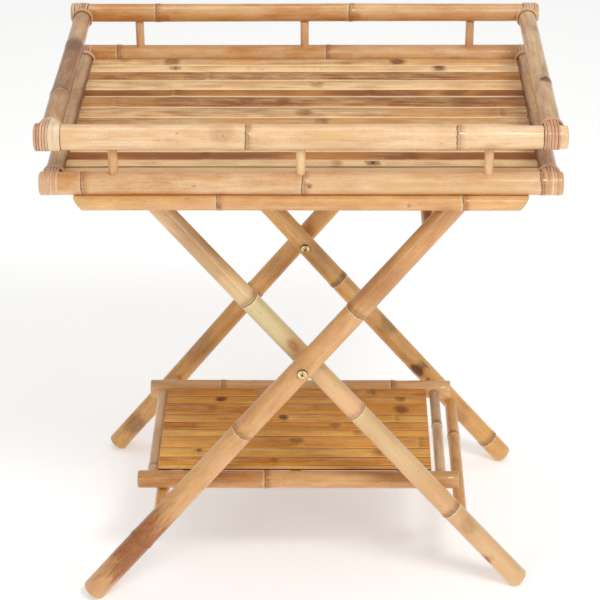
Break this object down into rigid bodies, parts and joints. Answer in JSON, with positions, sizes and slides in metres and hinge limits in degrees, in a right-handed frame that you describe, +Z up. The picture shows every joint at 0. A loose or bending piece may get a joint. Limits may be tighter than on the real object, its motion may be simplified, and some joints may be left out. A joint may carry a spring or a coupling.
{
  "type": "folding tray table",
  "caption": "Bamboo tray table: slatted carrying tray with lashed corners, resting on a folding scissor stand with a slatted shelf.",
  "frame": {"origin": "on the floor under the middle of the tray", "axes": "+X along the tray's length to the right, +Y from the front of the tray to the back, +Z up"},
  "size_m": [0.6, 0.4102, 0.6803],
  "materials": {
    "pale_bamboo": "pale cream bamboo culm, clear satin lacquer",
    "gold_bamboo": "golden bamboo culm, clear satin lacquer",
    "brown_bamboo": "darker brown bamboo culm, clear satin lacquer",
    "green_bamboo": "greenish cream bamboo culm, clear satin lacquer",
    "side_bamboo": "greyish brown bamboo culm, satin",
    "deck_bamboo": "split bamboo slats, glossy lacquer",
    "shelf_bamboo": "orange-brown split bamboo slats, glossy lacquer",
    "raw_bamboo": "unlacquered split bamboo",
    "rattan": "shiny rattan peel binding",
    "brass": "yellow passivated round-headed bolt",
    "steel": "zinc plated"
  },
  "bodies": {
    "outer_frame": {"outer_leg_front": "gold_bamboo", "outer_leg_back": "brown_bamboo", "outer_crossbar_upper": "brown_bamboo", "outer_crossbar_lower": "brown_bamboo", "pivot_bolt_front": "brass", "pivot_bolt_back": "brass", "pivot_nut_front": "steel", "pivot_nut_back": "steel"},
    "inner_frame": {"inner_leg_front": "green_bamboo", "inner_leg_back": "brown_bamboo", "inner_crossbar_upper": "brown_bamboo", "inner_crossbar_lower": "brown_bamboo", "shelf_pin_front": "steel", "shelf_pin_back": "steel"},
    "shelf": {"shelf_pole_front": "gold_bamboo", "shelf_pole_back": "gold_bamboo", "shelf_rail_left": "side_bamboo", "shelf_rail_right": "side_bamboo", "shelf_slat_mat": "shelf_bamboo"},
    "tray": {"tray_upper_rail_front": "pale_bamboo", "tray_upper_rail_back": "pale_bamboo", "tray_upper_rail_left": "side_bamboo", "tray_upper_rail_right": "side_bamboo", "tray_lower_rail_front": "pale_bamboo", "tray_lower_rail_back": "pale_bamboo", "tray_lower_rail_left": "side_bamboo", "tray_lower_rail_right": "side_bamboo", "lashing_upper_front_left": "rattan", "lashing_upper_front_right": "rattan", "lashing_upper_back_left": "rattan", "lashing_upper_back_right": "rattan", "lashing_lower_front_left": "rattan", "lashing_lower_front_right": "rattan", "lashing_lower_back_left": "rattan", "lashing_lower_back_right": "rattan", "tray_post_front_left": "pale_bamboo", "tray_post_front_middle": "pale_bamboo", "tray_post_front_right": "pale_bamboo", "tray_post_back_left": "pale_bamboo", "tray_post_back_middle": "pale_bamboo", "tray_post_back_right": "pale_bamboo", "deck_slat_01": "deck_bamboo", "deck_slat_02": "deck_bamboo", "deck_slat_03": "deck_bamboo", "deck_slat_04": "deck_bamboo", "deck_slat_05": "deck_bamboo", "deck_slat_06": "deck_bamboo", "deck_slat_07": "deck_bamboo", "deck_slat_08": "deck_bamboo", "deck_slat_09": "deck_bamboo", "deck_slat_10": "deck_bamboo", "deck_slat_11": "deck_bamboo", "deck_slat_12": "deck_bamboo", "deck_slat_13": "deck_bamboo", "deck_slat_14": "deck_bamboo", "deck_batten_left": "raw_bamboo", "deck_batten_middle": "raw_bamboo", "deck_batten_right": "raw_bamboo", "tray_runner_front": "gold_bamboo", "tray_runner_back": "gold_bamboo"}
  },
  "joints": [
    {"name": "leg_fold", "type": "hinge", "parent": "outer_frame", "child": "inner_frame", "pos_m": [0, 0, 0.348], "axis": [0, 1, 0], "range_deg": [0, 71]},
    {"name": "shelf_fold", "type": "hinge", "parent": "inner_frame", "child": "shelf", "pos_m": [0.16984, 0, 0.1405], "axis": [0, 1, 0], "range_deg": [0, 51]},
    {"name": "tray_lift", "type": "slide", "parent": "outer_frame", "child": "tray", "axis": [0, 0, 1], "range_m": [0, 0.35]}
  ],
  "couplings": [
    {"joint": "shelf_fold", "follows": "leg_fold", "ratio": 0.7141},
    {"joint": "tray_lift", "follows": "leg_fold", "m_per_rad": 0.28}
  ]
}
